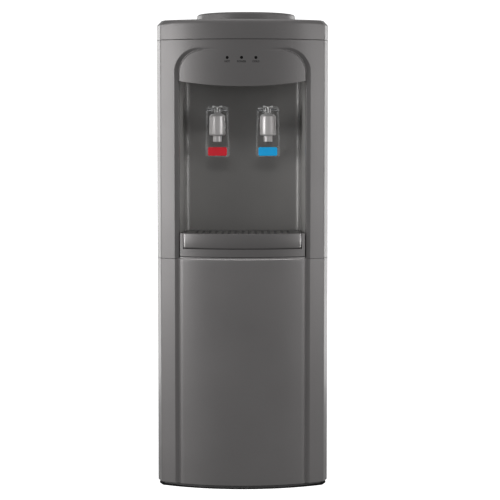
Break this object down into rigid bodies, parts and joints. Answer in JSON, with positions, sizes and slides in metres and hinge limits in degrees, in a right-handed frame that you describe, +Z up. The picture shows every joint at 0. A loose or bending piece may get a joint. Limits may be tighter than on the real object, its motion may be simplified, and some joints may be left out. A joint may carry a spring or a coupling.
{
  "type": "water dispenser",
  "caption": "Free-standing hot and cold water dispenser with a bottle collar on top, two sprung lever taps in a niche, a pull-out drip tray and a wire condenser behind.",
  "frame": {"origin": "on the floor, under the centre of the overall box", "axes": "+X to the right as seen from the front, the front faces -Y, +Z up"},
  "size_m": [0.31, 0.32, 0.862],
  "materials": {
    "graphite_plastic": "metallic graphite lacquer",
    "graphite_enamel": "metallic graphite enamel",
    "dark_enamel": "satin",
    "black_enamel": "satin black",
    "niche_plastic": "fine matt",
    "dark_plastic": "matt",
    "lens": "unlit lens",
    "board_green": "coated board",
    "zinc_steel": "zinc plated",
    "stainless": "brushed",
    "natural_plastic": "undyed food-grade plastic",
    "foam": "expanded foam",
    "copper": "drawn copper",
    "silicone": "milky silicone",
    "black_rubber": "matt",
    "silver_plastic": "silver lacquer",
    "clear_plastic": "clear moulded",
    "red_plastic": "gloss red",
    "blue_plastic": "gloss blue"
  },
  "bodies": {
    "cabinet": {"base_pan": "dark_enamel", "feet": "black_rubber", "left_side_panel": "graphite_enamel", "right_side_panel": "graphite_enamel", "back_panel": "black_enamel", "upper_front_panel": "graphite_plastic", "niche_liner": "niche_plastic", "tray_shelf": "graphite_plastic", "lower_front_panel": "graphite_plastic", "top_cover": "graphite_plastic", "bottle_collar": "graphite_plastic", "indicator_lenses": "lens", "indicator_board": "board_green", "panel_screws": "zinc_steel", "bottle_receiver": "niche_plastic", "feed_probe": "natural_plastic", "cold_tank": "stainless", "cold_tank_lid": "natural_plastic", "baffle": "natural_plastic", "tank_foam": "foam", "evaporator_coil": "copper", "thermostats": "dark_plastic", "hot_tank": "stainless", "band_heater": "zinc_steel", "tank_shelf": "zinc_steel", "cold_tap_hose": "silicone", "hot_tap_hose": "silicone", "hot_feed_hose": "silicone", "drain_hose": "silicone", "compressor": "black_enamel", "compressor_grommets": "black_rubber", "relay_cover": "dark_plastic", "condenser_tube": "black_enamel", "condenser_wires": "black_enamel", "condenser_clips": "dark_plastic", "filter_drier": "copper", "discharge_line": "copper", "suction_line": "copper", "switch_housings": "dark_plastic", "cord_gland": "black_rubber", "drain_outlet": "natural_plastic", "hot_tap_body": "silver_plastic", "cold_tap_body": "silver_plastic", "hot_tap_cap": "silver_plastic", "cold_tap_cap": "silver_plastic", "hot_tap_spring": "stainless", "cold_tap_spring": "stainless", "tap_pins": "stainless", "tap_nuts": "natural_plastic"},
    "tray": {"drip_tray": "graphite_plastic"},
    "grid": {"drip_grid": "dark_plastic"},
    "hot_lever": {"hot_tap_lever": "clear_plastic", "hot_tap_tab": "red_plastic"},
    "cold_lever": {"cold_tap_lever": "clear_plastic", "cold_tap_tab": "blue_plastic"},
    "hot_stem": {"hot_tap_stem": "silver_plastic"},
    "cold_stem": {"cold_tap_stem": "silver_plastic"},
    "hot_rocker": {"hot_switch": "red_plastic"},
    "cold_rocker": {"cold_switch": "blue_plastic"},
    "plug": {"drain_plug": "black_rubber"}
  },
  "joints": [
    {"name": "tray_slide", "type": "slide", "parent": "cabinet", "child": "tray", "axis": [0, -1, 0], "range_m": [0, 0.12]},
    {"name": "grid_lift", "type": "slide", "parent": "tray", "child": "grid", "axis": [0, 0, 1], "range_m": [0, 0.04]},
    {"name": "hot_lever_press", "type": "hinge", "parent": "cabinet", "child": "hot_lever", "pos_m": [-0.0464, -0.068, 0.6835], "axis": [1, 0, 0], "range_deg": [0, 20], "stiffness_Nm_per_rad": 0.4},
    {"name": "cold_lever_press", "type": "hinge", "parent": "cabinet", "child": "cold_lever", "pos_m": [0.0464, -0.068, 0.6835], "axis": [1, 0, 0], "range_deg": [0, 20], "stiffness_Nm_per_rad": 0.4},
    {"name": "hot_stem_lift", "type": "slide", "parent": "cabinet", "child": "hot_stem", "axis": [0, 0, 1], "range_m": [0, 0.0017], "stiffness_N_per_m": 10, "deforming": ["hot_tap_spring"]},
    {"name": "cold_stem_lift", "type": "slide", "parent": "cabinet", "child": "cold_stem", "axis": [0, 0, 1], "range_m": [0, 0.0017], "stiffness_N_per_m": 10, "deforming": ["cold_tap_spring"]},
    {"name": "hot_rocker_tilt", "type": "hinge", "parent": "cabinet", "child": "hot_rocker", "pos_m": [0.062, 0.144, 0.752], "axis": [-1, 0, 0], "range_deg": [0, 21]},
    {"name": "cold_rocker_tilt", "type": "hinge", "parent": "cabinet", "child": "cold_rocker", "pos_m": [0.1, 0.144, 0.752], "axis": [-1, 0, 0], "range_deg": [0, 21]},
    {"name": "plug_pull", "type": "slide", "parent": "cabinet", "child": "plug", "axis": [0, 1, 0], "range_m": [0, 0.022]}
  ],
  "couplings": [
    {"joint": "hot_stem_lift", "follows": "hot_lever_press", "m_per_rad": 0.00458},
    {"joint": "cold_stem_lift", "follows": "cold_lever_press", "m_per_rad": 0.00458}
  ]
}
